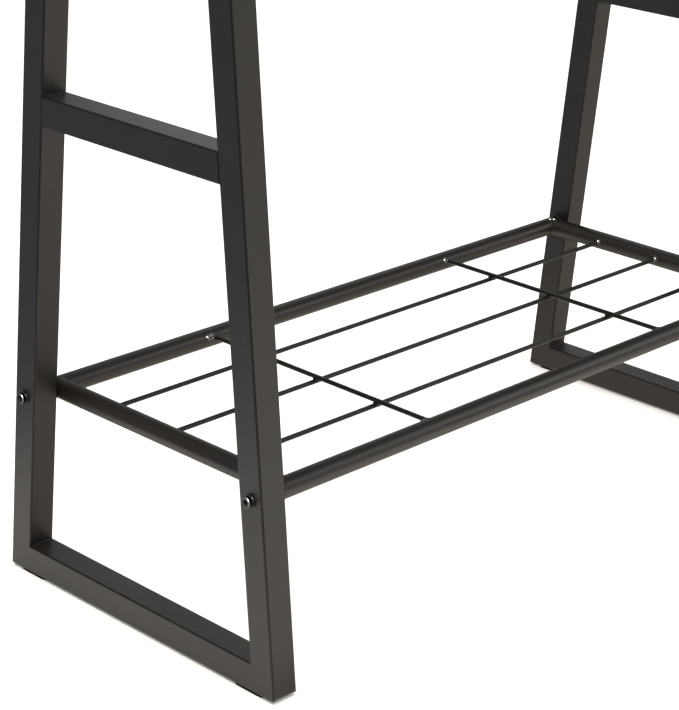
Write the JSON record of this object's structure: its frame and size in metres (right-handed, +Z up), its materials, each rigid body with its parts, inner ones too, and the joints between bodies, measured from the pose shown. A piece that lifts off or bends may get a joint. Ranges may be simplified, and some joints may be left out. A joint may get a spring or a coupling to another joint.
{
  "type": "clothes rail",
  "caption": "Free-standing clothes rail: two leaning square-tube end frames joined by a round hanging rail above and a welded wire shelf near the floor.",
  "frame": {"origin": "on the floor, under the middle of the hanging rail, at the centre of the footprint", "axes": "+Z up, X along the hanging rail, -Y towards the front"},
  "size_m": [0.8828, 0.3992, 1.7],
  "materials": {
    "frame_coat": "fine-texture matt black powder coat",
    "shelf_coat": "satin black powder coat",
    "wire_coat": "satin black powder coat on wire",
    "rail_coat": "satin black powder coat",
    "turned_steel": "turned and zinc plated",
    "black_steel": "black oxide, lightly oiled",
    "washer_steel": "black oxide, satin",
    "glide_rubber": "matt"
  },
  "bodies": {
    "root": {"left_front_leg": "frame_coat", "left_rear_leg": "frame_coat", "left_bottom_rail": "frame_coat", "left_crossbar": "frame_coat", "left_top_rail": "frame_coat", "left_front_glide": "glide_rubber", "left_rear_glide": "glide_rubber", "right_front_leg": "frame_coat", "right_rear_leg": "frame_coat", "right_bottom_rail": "frame_coat", "right_crossbar": "frame_coat", "right_top_rail": "frame_coat", "right_front_glide": "glide_rubber", "right_rear_glide": "glide_rubber", "shelf_front_tube": "shelf_coat", "shelf_rear_tube": "shelf_coat", "shelf_left_tube": "shelf_coat", "shelf_right_tube": "shelf_coat", "shelf_front_wire": "wire_coat", "shelf_middle_wire": "wire_coat", "shelf_rear_wire": "wire_coat", "shelf_left_cross_wire": "wire_coat", "shelf_right_cross_wire": "wire_coat", "left_front_shelf_boss": "shelf_coat", "left_rear_shelf_boss": "shelf_coat", "right_front_shelf_boss": "shelf_coat", "right_rear_shelf_boss": "shelf_coat", "hanging_rail": "rail_coat", "left_rail_insert": "turned_steel", "right_rail_insert": "turned_steel", "cap_screws": "black_steel", "lock_washers": "black_steel", "flat_washers": "washer_steel"}
  },
  "joints": []
}
